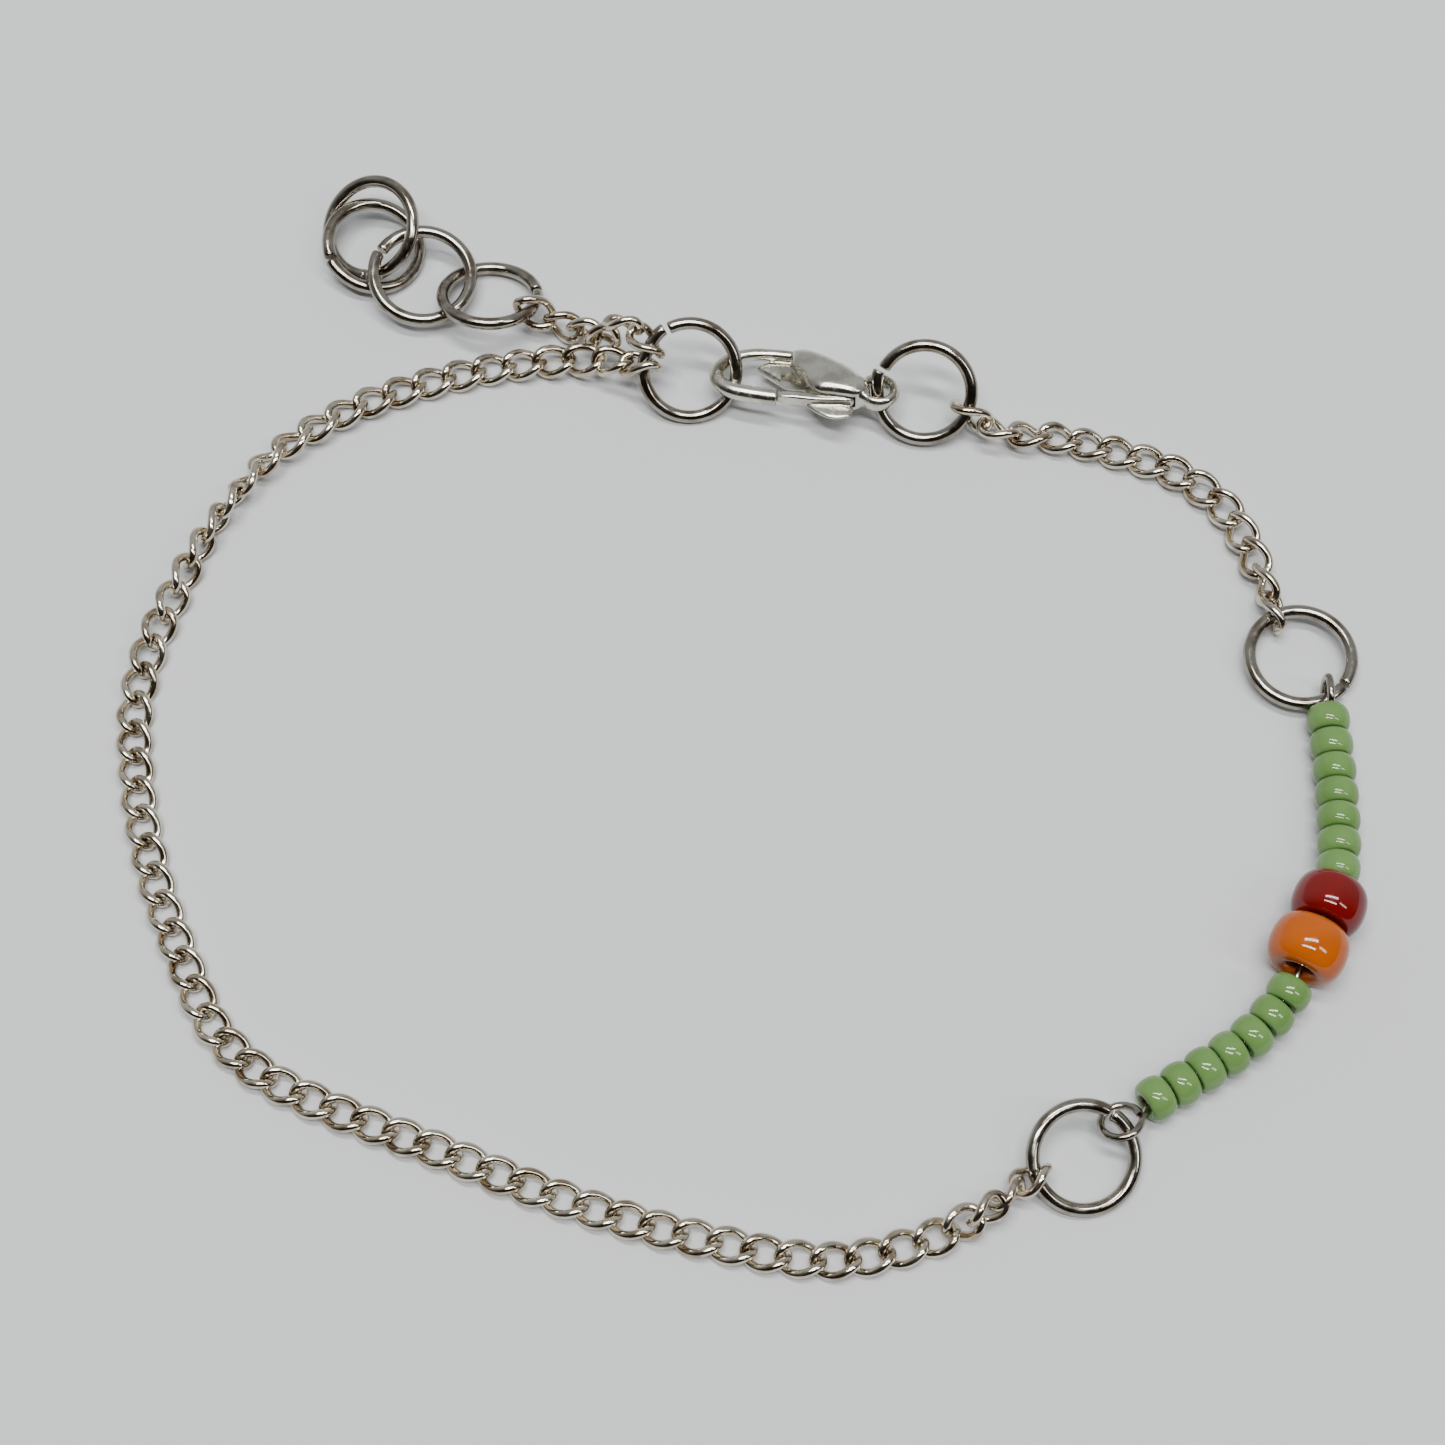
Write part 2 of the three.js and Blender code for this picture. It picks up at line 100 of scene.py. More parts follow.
# Chains: the ring gripped at each end and where round it, the number of links, and rows of some links'
# centres as link number, x, y, z and roll about the chain's line
CHAINS = {
    "chain_long": {
        "links": 62,
        "from": ("ring_clasp_left", 176),
        "to": ("ring_bead_bottom", 202),
        "rows": [
            (2, -7.6, 21.7, 1.05, -20), (4, -10.9, 21.7, 0.60, 0), (6, -14.2, 21.1, 0.50, 0),
            (9, -19.0, 19.4, 0.57, 5), (11, -21.9, 17.7, 0.71, 18), (13, -24.5, 15.5, 0.83, 40),
            (15, -26.4, 12.8, 0.96, 70), (17, -27.9, 9.8, 0.98, 100), (19, -29.1, 6.7, 0.88, 135),
            (21, -30.1, 3.6, 0.69, 162), (23, -30.5, 0.3, 0.50, 180), (26, -29.9, -4.6, 0.50, 180),
            (29, -28.6, -9.4, 0.50, 180), (32, -26.7, -14.0, 0.50, 180), (34, -25.2, -17.0, 0.50, 180),
            (36, -22.9, -19.3, 0.50, 180), (38, -20.0, -20.9, 0.50, 180), (42, -13.8, -23.4, 0.50, 180),
            (46, -7.6, -25.9, 0.50, 180), (50, -1.2, -27.8, 0.50, 180), (54, 5.4, -28.9, 0.50, 180),
            (57, 10.2, -27.8, 0.66, 192), (58, 11.5, -27.2, 0.95, 218), (59, 12.6, -26.8, 1.65, 250),
            (60, 13.6, -25.8, 1.10, 285),
        ],
    },
    "chain_short": {
        "links": 14,
        "from": ("ring_clasp_right", -30),
        "to": ("ring_bead_top", 115),
        "rows": [
            (1, 15.0, 17.1, 1.15, -42), (3, 18.3, 16.9, 0.63, -6), (5, 21.5, 16.0, 0.55, 0),
            (7, 24.5, 14.7, 0.64, 10), (9, 26.9, 12.4, 0.78, 28), (11, 28.2, 9.3, 0.90, 45),
        ],
    },
    "chain_extender": {
        "links": 6,
        "from": ("ring_clasp_left", 150),
        "to": ("ring_extender_1", -28),
        "rows": [
            (1, -5.4, 22.5, 3.35, 55), (2, -6.5, 22.5, 2.20, 72), (3, -7.5, 23.3, 1.50, 88),
            (4, -8.8, 24.0, 1.00, 108),
        ],
    },
}

# Bead wire: a loop at each end, and the route between them
BOTTOM_LOOP = {"at": (19.22, -22.35, 1.70), "mean": 1.97, "lean": -19.8, "swing": -14.1, "start": 20}
TOP_LOOP = {"at": (31.35, 1.02, 1.15), "mean": 1.90, "lean": 0.0, "swing": 90.0, "start": -58}
WIRE_ROUTE = [
    (21.05, -21.0, 1.16), (23.7, -19.4, 1.20), (25.95, -17.85, 1.40), (27.8, -15.8, 1.72),
    (29.0, -13.4, 2.04), (30.2, -11.1, 2.04), (30.85, -9.2, 1.78), (31.2, -6.2, 1.45),
    (31.3, -3.3, 1.22), (31.25, -0.35, 1.15),
]

# Lobster clasp in its own plane: u from the hook to the eye, v across, w through its thickness
CLASP_PLACE = np.array([4.52, 19.45, 1.85])
CLASP_ROLL, CLASP_PITCH, CLASP_YAW = -10.0, -1.6, -7.0
PIN = {"u": 2.15, "v": -0.45}
PIN_DIAMETER = 0.50
PIN_LENGTH = 1.40
BODY_BORE = 0.62
BORE_PLAY = 0.04
LEVER_PLAY = 0.06
LEVER_BORE_LENGTH = 3.0
LEVER_SLOT = 0.82


# Small numpy helpers

def unit(vectors):
    """Each vector divided by its own length."""
    return vectors / np.linalg.norm(vectors, axis=-1, keepdims=True)


def turn_about(axis, degrees):
    """The matrix that turns about the x, y or z axis by the right-hand rule."""
    c, s = np.cos(np.radians(degrees)), np.sin(np.radians(degrees))
    i, j = {"x": (1, 2), "y": (2, 0), "z": (0, 1)}[axis]
    matrix = np.eye(3)
    matrix[i, i] = matrix[j, j] = c
    matrix[i, j], matrix[j, i] = -s, s
    return matrix


def through(points, steps):
    """Centripetal Catmull-Rom spline: a cubic between each pair of points whose slopes weigh the
    neighbouring spans by the square roots of their lengths, sampled `steps` times a span."""
    points = np.asarray(points, float)
    first, last = 2 * points[0] - points[1], 2 * points[-1] - points[-2]
    p = np.vstack([first, points, last])
    dt = np.sqrt(np.linalg.norm(np.diff(p, axis=0), axis=1))[:, None]
    a, b, c, d = p[:-3], p[1:-2], p[2:-1], p[3:]
    da, db, dc = dt[:-2], dt[1:-1], dt[2:]
    slope_b = ((b - a) / da - (c - a) / (da + db) + (c - b) / db) * db
    slope_c = ((c - b) / db - (d - b) / (db + dc) + (d - c) / dc) * db
    t = (np.arange(steps) / steps)[None, :, None]
    b, c, slope_b, slope_c = b[:, None], c[:, None], slope_b[:, None], slope_c[:, None]
    cubic = 2 * b - 2 * c + slope_b + slope_c
    square = -3 * b + 3 * c - 2 * slope_b - slope_c
    inner = (b + slope_b * t + square * t**2 + cubic * t**3).reshape(-1, 3)
    return np.vstack([inner, points[-1]])


def lengths_along(path):
    """The distance from the start of a sampled path to each sample."""
    return np.concatenate([[0], np.cumsum(np.linalg.norm(np.diff(path, axis=0), axis=1))])


def at_length(path, distances):
    """Points and directions at the given distances along a sampled path, read between samples."""
    along = lengths_along(path)
    point = np.stack([np.interp(distances, along, path[:, k]) for k in range(3)], -1)
    slope = np.gradient(path, along, axis=0)
    return point, unit(np.stack([np.interp(distances, along, slope[:, k]) for k in range(3)], -1))


def smooth_step(x, low, high):
    """0 below low, 1 above high, and 3s squared minus 2s cubed between, s being the share of the way."""
    s = np.clip((x - low) / (high - low), 0, 1)
    return s * s * (3 - 2 * s)


def grid_quads(rows, columns, wrap_rows=False, wrap_columns=False):
    """Quads of a grid of vertices numbered row by row, closed round either way if asked."""
    r = np.arange(rows if wrap_rows else rows - 1)[:, None]
    c = np.arange(columns if wrap_columns else columns - 1)[None, :]
    r2, c2 = (r + 1) % rows, (c + 1) % columns
    corners = [r * columns + c, r * columns + c2, r2 * columns + c2, r2 * columns + c]
    return np.stack(corners, -1).reshape(-1, 4)


def sections(path, run, reference, radius, sides, flat=1.0):
    """Round sections set square across a path that runs in the directions `run`. Each section's axes
    are the reference direction made square to the path, scaled by `flat`, and its cross product with
    the path's direction."""
    up = unit(reference - (reference * run).sum(-1, keepdims=True) * run)
    side = np.cross(up, run)
    turn = 2 * np.pi * np.arange(sides) / sides
    ring = side[..., None, :] * np.cos(turn)[:, None] + flat * up[..., None, :] * np.sin(turn)[:, None]
    return path[..., None, :] + radius * ring


def sweep(path, reference, radius, sides, closed, flat=1.0):
    """A round section carried along a path. An open tube is closed by a fan at each end."""
    if closed:
        run = unit(np.roll(path, -1, 0) - np.roll(path, 1, 0))
    else:
        run = unit(np.gradient(path, axis=0))
    radius = np.broadcast_to(np.asarray(radius, float), (len(path),))[:, None, None]
    vertices = sections(path, run, reference, radius, sides, flat).reshape(-1, 3)
    quads = grid_quads(len(path), sides, wrap_rows=closed, wrap_columns=True)
    if closed:
        return vertices, quads.tolist()
    near, far = len(vertices), len(vertices) + 1
    vertices = np.vstack([vertices, path[0], path[-1]])
    corner = np.arange(sides)
    following = (corner + 1) % sides
    start = np.stack([np.full(sides, near), following, corner], -1)
    last = (len(path) - 1) * sides
    end = np.stack([np.full(sides, far), last + corner, last + following], -1)
    return vertices, quads.tolist() + start.tolist() + end.tolist()


def joined(surfaces):
    """Several surfaces as one, their face numbers shifted past each other."""
    vertices, faces, start = [], [], 0
    for v, f in surfaces:
        vertices.append(v)
        faces += [[i + start for i in face] for face in f]
        start += len(v)
    return np.vstack(vertices), faces


def to_metres(vertices):
    """Plan millimetres to the part's frame in metres."""
    return (vertices - PLAN_MIDDLE) * MM


# Pieces in the scene

def add_object(name, data):
    """An object of a mesh, lamp or camera, at the origin and in the scene."""
    piece = bpy.data.objects.new(name, data)
    bpy.context.scene.collection.objects.link(piece)
    return piece


def raw_object(name, surface):
    """A surface in its own units, unshaded and without a material."""
    vertices, faces = surface
    mesh = bpy.data.meshes.new(name)
    mesh.from_pydata(vertices.tolist(), [], faces)
    return add_object(name, mesh)


def finished(piece, material, sharp=None):
    """The piece with its one material, shaded smooth except along edges sharper than `sharp` degrees."""
    mesh = piece.data
    mesh.materials.clear()
    mesh.materials.append(material)
    mesh.polygons.foreach_set("use_smooth", np.full(len(mesh.polygons), True))
    if sharp:
        mesh.set_sharp_from_angle(angle=np.radians(sharp))
    return piece


def add_piece(name, surface, material, sharp=None):
    """A finished piece at the origin from a surface in plan millimetres."""
    vertices, faces = surface
    return finished(raw_object(name, (to_metres(vertices), faces)), material, sharp)


def dress(piece, node, body="bracelet"):
    """The piece stands for a node of the frame and moves with its body."""
    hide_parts(node)
    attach(piece, body)


# Materials

# Sockets of a Mix node that share a name: the two colours and their mixture, the two numbers and theirs
COLOUR_A, COLOUR_B, COLOUR_OUT = 6, 7, 2
NUMBER_A, NUMBER_B, NUMBER_OUT = 2, 3, 0

FINISH_OUTPUTS = [
    ("Color", "NodeSocketColor"),
    ("Roughness", "NodeSocketFloat"),
    ("Normal", "NodeSocketVector"),
]


def finish_group(name, inputs):
    """An empty shader group with the given inputs, as (name, kind, default), that gives out a finish."""
    group = bpy.data.node_groups.new(name, "ShaderNodeTree")
    for label, kind, default in inputs:
        group.interface.new_socket(label, in_out="INPUT", socket_type=kind).default_value = default
    for label, kind in FINISH_OUTPUTS:
        group.interface.new_socket(label, in_out="OUTPUT", socket_type=kind)
    return group, group.nodes.new("NodeGroupInput"), group.nodes.new("NodeGroupOutput")


def add_noise(group, scale, detail, roughness=0.5):
    """Noise on object coordinates; scale is in waves a metre."""
    place = group.nodes.new("ShaderNodeTexCoord")
    noise = group.nodes.new("ShaderNodeTexNoise")
    noise.inputs["Scale"].default_value = scale
    noise.inputs["Detail"].default_value = detail
    noise.inputs["Roughness"].default_value = roughness
    group.links.new(place.outputs["Object"], noise.inputs["Vector"])
    return noise.outputs["Fac"]


def add_range(group, value, low, high, to_low=0.0, to_high=1.0):
    """The value's stretch from low to high, eased at both ends and spread over to_low to to_high."""
    spread = group.nodes.new("ShaderNodeMapRange")
    spread.interpolation_type = "SMOOTHSTEP"
    spread.inputs["From Min"].default_value = low
    spread.inputs["From Max"].default_value = high
    spread.inputs["To Min"].default_value = to_low
    spread.inputs["To Max"].default_value = to_high
    group.links.new(value, spread.inputs["Value"])
    return spread.outputs["Result"]


def add_colour_mix(group, share, first, second):
    """A colour between two, by share."""
    mix = group.nodes.new("ShaderNodeMix")
    mix.data_type = "RGBA"
    group.links.new(share, mix.inputs["Factor"])
    group.links.new(first, mix.inputs[COLOUR_A])
    group.links.new(second, mix.inputs[COLOUR_B])
    return mix.outputs[COLOUR_OUT]


def add_number_mix(group, share, first, second):
    """A number between two, by share."""
    mix = group.nodes.new("ShaderNodeMix")
    group.links.new(share, mix.inputs["Factor"])
    group.links.new(first, mix.inputs[NUMBER_A])
    group.links.new(second, mix.inputs[NUMBER_B])
    return mix.outputs[NUMBER_OUT]


def add_bump(group, heights, strength, distance):
    """A normal from a height; distance is in metres."""
    bump = group.nodes.new("ShaderNodeBump")
    bump.inputs["Strength"].default_value = strength
    bump.inputs["Distance"].default_value = distance
    group.links.new(heights, bump.inputs["Height"])
    return bump.outputs["Normal"]


def plated_metal_group():
    """Worn plating: clean colour with browner patches of tarnish about a millimetre across, a roughness
    that varies over less than that, and fine handling marks in the bump."""
    group, given, made = finish_group("Worn plating", [
        ("Clean", "NodeSocketColor", (0.7, 0.7, 0.7, 1)),
        ("Tarnish", "NodeSocketColor", (0.3, 0.25, 0.2, 1)),
        ("Roughness Low", "NodeSocketFloat", 0.15),
        ("Roughness High", "NodeSocketFloat", 0.35),
    ])
    patches = add_range(group, add_noise(group, scale=900, detail=3), low=0.42, high=0.68)
    colour = add_colour_mix(group, patches, given.outputs["Clean"], given.outputs["Tarnish"])
    wear = add_range(group, add_noise(group, scale=2600, detail=4), low=0.35, high=0.7)
    rough = add_number_mix(group, wear, given.outputs["Roughness Low"], given.outputs["Roughness High"])
    marks = add_noise(group, scale=5000, detail=3, roughness=0.6)
    group.links.new(colour, made.inputs["Color"])
    group.links.new(rough, made.inputs["Roughness"])
    group.links.new(add_bump(group, marks, strength=0.12, distance=0.00001), made.inputs["Normal"])
    return group


def opaque_glass_group():
    """Opaque glass: a body colour that clouds slightly, a dark brown where the mesh's own attribute
    says so, as painted shade on the hole walls and real residue on one bead, and low waves in the bump."""
    group, given, made = finish_group("Opaque glass", [
        ("Body", "NodeSocketColor", (0.3, 0.6, 0.2, 1)),
        ("Cloud", "NodeSocketColor", (0.4, 0.7, 0.3, 1)),
        # Dark brown used both for the painted shade in the holes and for the residue
        ("Hole Shade And Residue", "NodeSocketColor", (0.05, 0.02, 0.01, 1)),
    ])
    cloud = add_range(group, add_noise(group, scale=420, detail=2), low=0.35, high=0.65)
    colour = add_colour_mix(group, cloud, given.outputs["Body"], given.outputs["Cloud"])
    # The attribute holds painted shade on every hole wall, plus real residue on one bead
    hole_shade_and_residue = group.nodes.new("ShaderNodeAttribute")
    hole_shade_and_residue.attribute_name = "hole_shade_and_residue"
    with_hole_shade_and_residue = add_colour_mix(group, hole_shade_and_residue.outputs["Fac"], colour, given.outputs["Hole Shade And Residue"])
    wear = add_noise(group, scale=3000, detail=4)
    rough = add_range(group, wear, low=0.4, high=0.75, to_low=0.06, to_high=0.13)
    waves = add_noise(group, scale=900, detail=1)
    group.links.new(with_hole_shade_and_residue, made.inputs["Color"])
    group.links.new(rough, made.inputs["Roughness"])
    group.links.new(add_bump(group, waves, strength=0.04, distance=0.00004), made.inputs["Normal"])
    return group


def material_from(name, group, given, **settings):
    """A material whose colour, roughness and normal come from a group with the given values, and whose
    other values are set on the shader itself."""
    material = bpy.data.materials.new(name)
    material.use_nodes = True
    tree = material.node_tree
    shader = tree.nodes["Principled BSDF"]
    finish = tree.nodes.new("ShaderNodeGroup")
    finish.node_tree = group
    for label, value in given.items():
        finish.inputs[label].default_value = value
    tree.links.new(finish.outputs["Color"], shader.inputs["Base Color"])
    tree.links.new(finish.outputs["Roughness"], shader.inputs["Roughness"])
    tree.links.new(finish.outputs["Normal"], shader.inputs["Normal"])
    for label, value in settings.items():
        shader.inputs[label.replace("_", " ")].default_value = value
    return material


plating = plated_metal_group()
glass = opaque_glass_group()
chain_metal = material_from(
    "Champagne plate",
    plating,
    {
        "Clean": (0.66, 0.60, 0.49, 1),
        "Tarnish": (0.38, 0.31, 0.22, 1),
        "Roughness Low": 0.10,
        "Roughness High": 0.22,
    },
    Metallic=1.0,
)
ring_metal = material_from(
    "Antique nickel plate",
    plating,
    {
        "Clean": (0.36, 0.335, 0.285, 1),
        "Tarnish": (0.20, 0.165, 0.125, 1),
        "Roughness Low": 0.11,
        "Roughness High": 0.22,
    },
    Metallic=1.0,
)
clasp_metal = material_from(
    "Satin silver plate",
    plating,
    {
        "Clean": (0.68, 0.66, 0.58, 1),
        "Tarnish": (0.48, 0.46, 0.38, 1),
        "Roughness Low": 0.18,
        "Roughness High": 0.30,
    },
    Metallic=1.0,
)
green_glass = material_from(
    "Sage green glass",
    glass,
    {"Body": (0.108, 0.218, 0.054, 1), "Cloud": (0.132, 0.250, 0.072, 1)},
    Subsurface_Weight=0.10,
    Subsurface_Scale=0.0004,
    IOR=1.46,
)
red_glass = material_from(
    "Deep red glass",
    glass,
    {"Body": (0.115, 0.003, 0.003, 1), "Cloud": (0.145, 0.004, 0.003, 1)},
    IOR=1.46,
)
orange_glass = material_from(
    "Orange glass",
    glass,
    {"Body": (0.36, 0.066, 0.0003, 1), "Cloud": (0.42, 0.083, 0.0005, 1)},
    Subsurface_Weight=0.05,
    Subsurface_Scale=0.0005,
    IOR=1.46,
)


# Rings

def circle_axes(circle):
    """The turn of a tilted circle: lean about x, then swing about y."""
    return turn_about("y", circle["swing"]) @ turn_about("x", circle["lean"])


def circle_points(circle, degrees, radius=None):
    """Points round a tilted circle: the cosine and sine of the angle times the radius, tilted and moved
    to its centre."""
    a = np.radians(np.asarray(degrees, float))
    radius = circle["mean"] / 2 if radius is None else radius
    flat = np.stack([np.cos(a) * radius, np.sin(a) * radius, np.zeros_like(a)], -1)
    return flat @ circle_axes(circle).T + np.array(circle["at"])


def circle_tangent(circle, degrees):
    """The direction of growing angle at one place round a tilted circle."""
    a = np.radians(degrees)
    return circle_axes(circle) @ np.array([-np.sin(a), np.cos(a), 0.0])


def ring_surface(ring, steps=120, sides=24):
    """Wire bent round a circle from one side of its cut to the other. One end springs outwards by
    `step` over its last degrees, and the wire's radius drops at both ends to break the corner."""
    half_cut = np.degrees(RING_CUT / ring["mean"])
    edge = np.array([0.0, 0.10, 0.35, 0.8])
    turned = np.concatenate([edge, np.linspace(1.6, 358.4, steps), 360 - edge[::-1]])
    share = turned / 360
    angle = ring["cut"] + half_cut + share * (360 - 2 * half_cut)
    spring = ring["step"] * (1 - smooth_step(share * 360, 0, CUT_SPRING_DEGREES))
    path = circle_points(ring, angle, ring["mean"] / 2 + spring)
    inset = np.minimum(share, 1 - share) * np.pi * ring["mean"]
    radius = RING_WIRE / 2 - CUT_BEVEL * (1 - smooth_step(inset, 0.0, CUT_BEVEL_LENGTH))
    normal = np.broadcast_to(circle_axes(ring) @ UPWARDS, path.shape)
    return sweep(path, normal, radius, sides, closed=False)


for ring_name, ring in RINGS.items():
    wire = add_piece(ring_name + "_wire", ring_surface(ring), ring_metal, sharp=50)
    dress(wire, ring_name)


# Chains

def level_axes(tangent):
    """The level direction across the chain, and the one square to it and to the chain."""
    side = unit(np.cross(UPWARDS, tangent))
    return side, np.cross(tangent, side)


def grip_roll(tangent, ring_tangent, end_twist, beside):
    """The roll that stands a link's outer end square across the ring wire that it grips, the half turn
    nearest to the roll of the link beside it."""
    side, up = level_axes(tangent)
    roll = np.degrees(np.arctan2(-side @ ring_tangent, up @ ring_tangent)) - end_twist
    return roll + 180 * np.round((beside - roll) / 180)


def link_frames(chain, steps=100):
    """Centres and axes of all links: a spline through the grips and the rows, with the links spread
    evenly along it between two rows, and the rolls spread the same way."""
    ring_a, place_a = RINGS[chain["from"][0]], chain["from"][1]
    ring_b, place_b = RINGS[chain["to"][0]], chain["to"][1]
    rows = np.array(chain["rows"], float)
    points = np.vstack([circle_points(ring_a, place_a), rows[:, 1:4], circle_points(ring_b, place_b)])
    path = through(points, steps)
    knots = lengths_along(path)[::steps]
    knots[0] += GRIP_INSET
    knots[-1] -= GRIP_INSET
    numbers = np.concatenate([[0], rows[:, 0], [chain["links"] - 1]])
    ends = at_length(path, np.array([0, lengths_along(path)[-1]]))[1]
    first = grip_roll(ends[0], circle_tangent(ring_a, place_a), -GRIP_TWIST, rows[0, 4])
    last = grip_roll(ends[1], circle_tangent(ring_b, place_b), GRIP_TWIST, rows[-1, 4])
    rolls = np.concatenate([[first], rows[:, 4], [last]])
    number = np.arange(chain["links"])
    centre, tangent = at_length(path, np.interp(number, numbers, knots))
    roll = np.radians(np.interp(number, numbers, rolls))[:, None]
    side, up = level_axes(tangent)
    across = side * np.cos(roll) + up * np.sin(roll)
    return centre, tangent, across, np.cross(tangent, across)


def chain_surface(chain, steps=44, sides=14):
    """All links of a chain as one array. A link is an oval of wire: along the chain it reaches its half
    length times the cosine of the angle round the oval, and across it the half width times a signed
    power of the sine. The oval's plane turns about the chain's line by the twist times the cosine, so
    that its two ends stand square to each other. It is as long as the spacing round it asks for."""
    centre, tangent, across, normal = link_frames(chain)
    gap = np.linalg.norm(np.diff(centre, axis=0), axis=1)
    before, after = np.concatenate([gap[:1], gap]), np.concatenate([gap, gap[-1:]])
    half = ((before + after) / 4 + LINK_WIRE / 2 + LINK_PLAY)[:, None]
    a = (2 * np.pi * np.arange(steps) / steps)[None, :]
    plane = np.radians(LINK_TWIST) * np.cos(a)
    wide = LINK_HALF_WIDTH * np.sign(np.sin(a)) * np.abs(np.sin(a)) ** LINK_SQUARENESS
    x, y, z = half * np.cos(a), wide * np.cos(plane), wide * np.sin(plane)
    y, z = np.broadcast_to(y, x.shape), np.broadcast_to(z, x.shape)
    axes = np.stack([tangent, across, normal], 1)
    path = np.einsum("lsk,lkd->lsd", np.stack([x, y, z], -1), axes) + centre[:, None]
    local_up = np.stack([np.zeros_like(plane), -np.sin(plane), np.cos(plane)], -1)
    reference = np.einsum("lsk,lkd->lsd", np.broadcast_to(local_up, path.shape), axes)
    run = unit(np.roll(path, -1, 1) - np.roll(path, 1, 1))
    vertices = sections(path, run, reference, LINK_WIRE / 2, sides).reshape(-1, 3)
    one = grid_quads(steps, sides, wrap_rows=True, wrap_columns=True)
    faces = (one[None] + (np.arange(len(centre)) * steps * sides)[:, None, None]).reshape(-1, 4)
    return vertices, faces.tolist()


for chain_name, chain in CHAINS.items():
    dress(add_piece(chain_name + "_links", chain_surface(chain), chain_metal), chain_name)


# Bead wire

def loop_points(loop, count=22):
    """Points round an eye loop, from its free end to where the wire leaves for the beads."""
    return circle_points(loop, loop["start"] + np.linspace(0, LOOP_TURN, count))


def bead_wire_surface(steps=8, sides=16):
    """One wire: the bottom loop, the row, and the top loop run backwards. The section's reference
    direction passes from the bottom loop's normal to the top loop's over the middle of the wire."""
    points = np.vstack([loop_points(BOTTOM_LOOP), WIRE_ROUTE, loop_points(TOP_LOOP)[::-1]])
    path = through(points, steps)
    share = smooth_step(lengths_along(path) / lengths_along(path)[-1], 0.3, 0.7)[:, None]
    bottom = circle_axes(BOTTOM_LOOP) @ UPWARDS
    top = circle_axes(TOP_LOOP) @ UPWARDS
    return sweep(path, (1 - share) * bottom + share * top, BEAD_WIRE / 2, sides, closed=False)


dress(add_piece("bead_wire_round", bead_wire_surface(), ring_metal, sharp=60), "bead_wire")


# Beads

def bead_profile(diameter, length, hole, fullness, steps=40):
    """The bead's half section as a closed superellipse: radius and height are signed powers of the
    cosine and sine of one angle. Its outer half is rounded by the fullness, and its inner half is nearly
    straight, with a rounded lip."""
    core = (diameter + hole) / 4
    half_wall = (diameter - hole) / 4
    a = 2 * np.pi * np.arange(steps) / steps
    c, s = np.cos(a), np.sin(a)
    power = np.where(c > 0, 2 / fullness, 2 / HOLE_FULLNESS)
    radius = core + half_wall * np.sign(c) * np.abs(c) ** power
    height = length / 2 * np.sign(s) * np.abs(s) ** (2 / fullness)
    return radius, height


def bead_surface(size, centre, axis, turns=48):
    """The half section turned about the wire."""
    radius, height = bead_profile(**size)
    side = unit(np.cross(axis, UPWARDS))
    up = np.cross(side, axis)
    a = 2 * np.pi * np.arange(turns) / turns
    around = side * np.cos(a)[:, None] + up * np.sin(a)[:, None]
    vertices = centre + axis * height[None, :, None] + around[:, None] * radius[None, :, None]
    faces = grid_quads(turns, len(radius), wrap_rows=True, wrap_columns=True)
    return vertices.reshape(-1, 3), faces.tolist()


def hole_shade_and_residue_at(bead_name, size, vertices, centre, axis):
    """How dark each vertex is painted: 1 on the hole's wall as painted shade, falling to 0 past its rim.
    The residue bead also has a bell curve of real residue round the hole of its lower end."""
    along = (vertices - centre) @ axis
    from_axis = np.linalg.norm(vertices - centre - along[:, None] * axis, axis=1)
    hole = size["hole"] / 2
    # Painted shade on the hole wall, fading out just past the rim
    hole_shade_and_residue = 1 - smooth_step(from_axis, hole, hole + HOLE_SHADE_RIM)
    if bead_name == RESIDUE_BEAD:
        # Real handling residue round the lower hole of one bead
        hole_shade_and_residue += np.exp(-((from_axis - hole) / RESIDUE_SPREAD) ** 2) * (along < 0) * RESIDUE_STRENGTH
    return np.clip(hole_shade_and_residue, 0, 1)


def bead_order():
    """Every bead from the lower end of the wire: name, size, glass, slot and distance along the row."""
    green = (GREEN_BEAD, green_glass, "green_glass")
    order = [(f"bead_green_lower_{i + 1}", *green) for i in range(GREEN_BEADS_A_SIDE)]
    order += [("bead_orange", ORANGE_BEAD, orange_glass, "orange_glass")]
    order += [("bead_red", RED_BEAD, red_glass, "red_glass")]
    order += [(f"bead_green_upper_{i}", *green) for i in range(GREEN_BEADS_A_SIDE, 0, -1)]
    pitches = [GREEN_PITCH] * (GREEN_BEADS_A_SIDE - 1)
    gaps = [0, *pitches, GREEN_TO_ORANGE, ORANGE_TO_RED, RED_TO_GREEN, *pitches]
    return [(*bead, distance) for bead, distance in zip(order, FIRST_BEAD + np.cumsum(gaps))]


row_path = through(WIRE_ROUTE, 60)
for bead_name, size, bead_glass, slot, distance in bead_order():
    centres, directions = at_length(row_path, np.array([distance]))
    surface = bead_surface(size, centres[0], directions[0])
    bead = add_piece(bead_name + "_glass", surface, bead_glass)
    # Vertex attribute of painted shade on the hole walls, and real residue on one bead
    hole_shade_and_residue = bead.data.attributes.new("hole_shade_and_residue", "FLOAT", "POINT")
    hole_shade_and_residue.data.foreach_set("value", hole_shade_and_residue_at(bead_name, size, surface[0], centres[0], directions[0]))
    dress(bead, bead_name)


# Lobster clasp

CLASP_AXES = turn_about("z", CLASP_YAW) @ turn_about("y", CLASP_PITCH) @ turn_about("x", CLASP_ROLL)


def closed_outline(points, steps=10):
    """A smooth outline through corner points, in the clasp's plane, closed by a straight line from just
    before the last point to the first."""
    points = np.column_stack([np.asarray(points, float), np.zeros(len(points))])
    wrapped = np.vstack([points[-2:], points, points[:2]])
    return through(wrapped, steps)[2 * steps:(len(points) + 1) * steps, :2]


